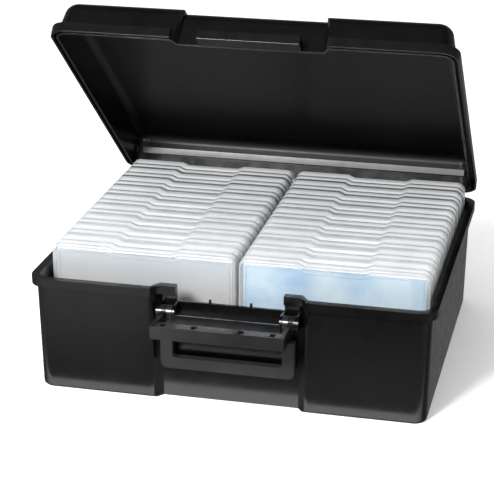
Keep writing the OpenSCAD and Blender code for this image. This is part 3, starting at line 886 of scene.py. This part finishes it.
def build_keepers():
    models = {"cover": make_keeper_cover(), "tray": make_keeper_tray()}
    for model in models.values():
        finish(model, "clear", "clear_edge_painted_shade")
        # The rounded edges and the lap step take the painted shade of the grooves
        give_second_finish(model, painted_shade_rim_face)
    draw = random.Random(SHEET_SEED)
    for row, side in ROWS.items():
        for n in range(1, KEEPERS_PER_ROW + 1):
            place, body = keeper_place(side, n), f"keeper_{row}_{n}"
            for part, model in models.items():
                piece = copy_of(model, f"keeper_{part}_{row}_{n}")
                put(piece, place)
                dress(piece, body, "keeper_clear", f"{part}_{row}_{n}")
            stack = make_stack(f"prints_{row}_{n}", draw)
            finish_stack(stack, side, n)
            put(stack, place)
            dress(stack, body, "photo_prints", f"photos_{row}_{n}")
    for model in models.values():
        bpy.data.objects.remove(model)


# ---- Studio, in metres ----

CAMERA_AZ, CAMERA_EL, CAMERA_ROLL = math.radians(13.21), math.radians(20.576), math.radians(0.129)
CAMERA_DISTANCE, CAMERA_TARGET = 1.5591, Vector((-0.0176, 0, 0.0929))
LENS, SENSOR_W = 124.59, 36
FLOOR_R, FLOOR_SIDES = 12, 96
CARD_PLACE, CARD_SIZE = (0, -1.66, 0.0005), (4, 3)
CARD_FAR_Y, CARD_SIDE_X = (-0.17, -0.42), (0.02, -0.16)
CARD_NEAR_GLOW, CARD_FAR_GLOW = (0.45, 0.4), (0.05, 1.15)
SKY_STOPS = (0.1, (4, 4, 4)), (0.5, (0.18, 0.18, 0.18))
SKY_HEIGHT, SKY_STRENGTH = (0.5, 0.72), (1, 0.1)


def pointing(place, direction):
    """The place and turn of a camera or a light that faces a direction."""
    turn = direction.to_track_quat("-Z", "Y").to_matrix().to_4x4()
    return Matrix.Translation(place) @ turn


def set_camera():
    data = bpy.data.cameras.new("photo_camera")
    data.lens = LENS
    data.sensor_width = SENSOR_W
    camera = bpy.data.objects.new("photo_camera", data)
    bpy.context.collection.objects.link(camera)
    away = Vector((math.sin(CAMERA_AZ) * math.cos(CAMERA_EL),
                   -math.cos(CAMERA_AZ) * math.cos(CAMERA_EL), math.sin(CAMERA_EL)))
    camera.matrix_world = (pointing(CAMERA_TARGET + away * CAMERA_DISTANCE, -away)
                           @ Matrix.Rotation(CAMERA_ROLL, 4, "Z"))
    bpy.context.scene.camera = camera


def make_floor():
    deselect()
    bpy.ops.mesh.primitive_circle_add(vertices=FLOOR_SIDES, radius=FLOOR_R, fill_type="NGON",
                                      location=(0, 0, 0))
    floor = bpy.context.object
    floor.name = "studio_floor"
    mat, tree, shader = new_finish("pale_floor")
    tree.links.new(cloudy(tree, object_coords(tree), FLOOR_CLOUDS, *FLOOR_TONES),
                   shader.inputs["Base Color"])
    set_inputs(shader, {"Roughness": FLOOR_ROUGHNESS, "Specular IOR Level": 0})
    floor.data.materials.append(mat)
    floor.visible_glossy = False


def softbox(name, place, aim, size, power):
    """A rectangular light that points at a place."""
    data = bpy.data.lights.new(name, "AREA")
    data.shape = "RECTANGLE"
    data.size, data.size_y = size
    data.energy = power
    light = bpy.data.objects.new(name, data)
    bpy.context.collection.objects.link(light)
    light.matrix_world = pointing(Vector(place), Vector(aim) - Vector(place))


def card_finish(name):
    """A glow that is nearly even close to the case, and much brighter to the left farther away."""
    mat = bpy.data.materials.new(name)
    mat.use_nodes = True
    tree = mat.node_tree
    tree.nodes.remove(tree.nodes["Principled BSDF"])
    glow = tree.nodes.new("ShaderNodeEmission")
    coords = object_coords(tree)
    across, along = part_of(tree, coords, "X"), part_of(tree, coords, "Y")
    blend = tree.nodes.new("ShaderNodeMix")
    tree.links.new(ease(tree, along, CARD_FAR_Y, (0, 1)), blend.inputs["Factor"])
    tree.links.new(ease(tree, across, CARD_SIDE_X, CARD_NEAR_GLOW), blend.inputs["A"])
    tree.links.new(ease(tree, across, CARD_SIDE_X, CARD_FAR_GLOW), blend.inputs["B"])
    tree.links.new(blend.outputs["Result"], glow.inputs["Strength"])
    tree.links.new(glow.outputs["Emission"], tree.nodes["Material Output"].inputs["Surface"])
    return mat


def make_reflector():
    """A card on the floor that only the glossy plastic mirrors."""
    deselect()
    bpy.ops.mesh.primitive_plane_add(size=1, location=CARD_PLACE)
    card = bpy.context.object
    card.name = "reflector_card"
    bpy.ops.transform.resize(value=(*CARD_SIZE, 1))
    apply_place(card)
    card.data.materials.append(card_finish("reflector_card"))
    card.visible_camera = card.visible_diffuse = card.visible_shadow = False
    card.visible_transmission = card.visible_volume_scatter = False


def set_world():
    """A white studio, which glossy plastic mirrors bright in front, and dim behind and above."""
    world = bpy.data.worlds.new("studio")
    bpy.context.scene.world = world
    world.use_nodes = True
    tree = world.node_tree
    mirrored = tree.nodes["Background"]
    white = tree.nodes.new("ShaderNodeBackground")
    set_inputs(white, {"Color": (1, 1, 1, 1), "Strength": 1})
    path = tree.nodes.new("ShaderNodeLightPath")
    mix = tree.nodes.new("ShaderNodeMixShader")
    tree.links.new(path.outputs["Is Glossy Ray"], mix.inputs["Fac"])
    tree.links.new(white.outputs["Background"], mix.inputs[1])
    tree.links.new(mirrored.outputs["Background"], mix.inputs[2])
    tree.links.new(mix.outputs["Shader"], tree.nodes["World Output"].inputs["Surface"])
    coords = tree.nodes.new("ShaderNodeTexCoord").outputs["Generated"]
    backward = map_range(tree, part_of(tree, coords, "Y"), (-1, 1), (0, 1))
    tree.links.new(colour_ramp(tree, backward, *SKY_STOPS), mirrored.inputs["Color"])
    tree.links.new(ease(tree, part_of(tree, coords, "Z"), SKY_HEIGHT, SKY_STRENGTH),
                   mirrored.inputs["Strength"])


def set_studio():
    set_camera()
    make_floor()
    make_reflector()
    set_world()
    softbox("key_box", place=(-0.72, -1.84, 1.45), aim=(0, 0, 0.1), size=(0.7, 0.5), power=106)
    softbox("front_box", place=(-0.25, -1.9, 1.1), aim=(0, 0, 0.12), size=(1.4, 0.7), power=12)
    bpy.context.scene.view_settings.view_transform = "Standard"


build_case()
build_keepers()
set_studio()
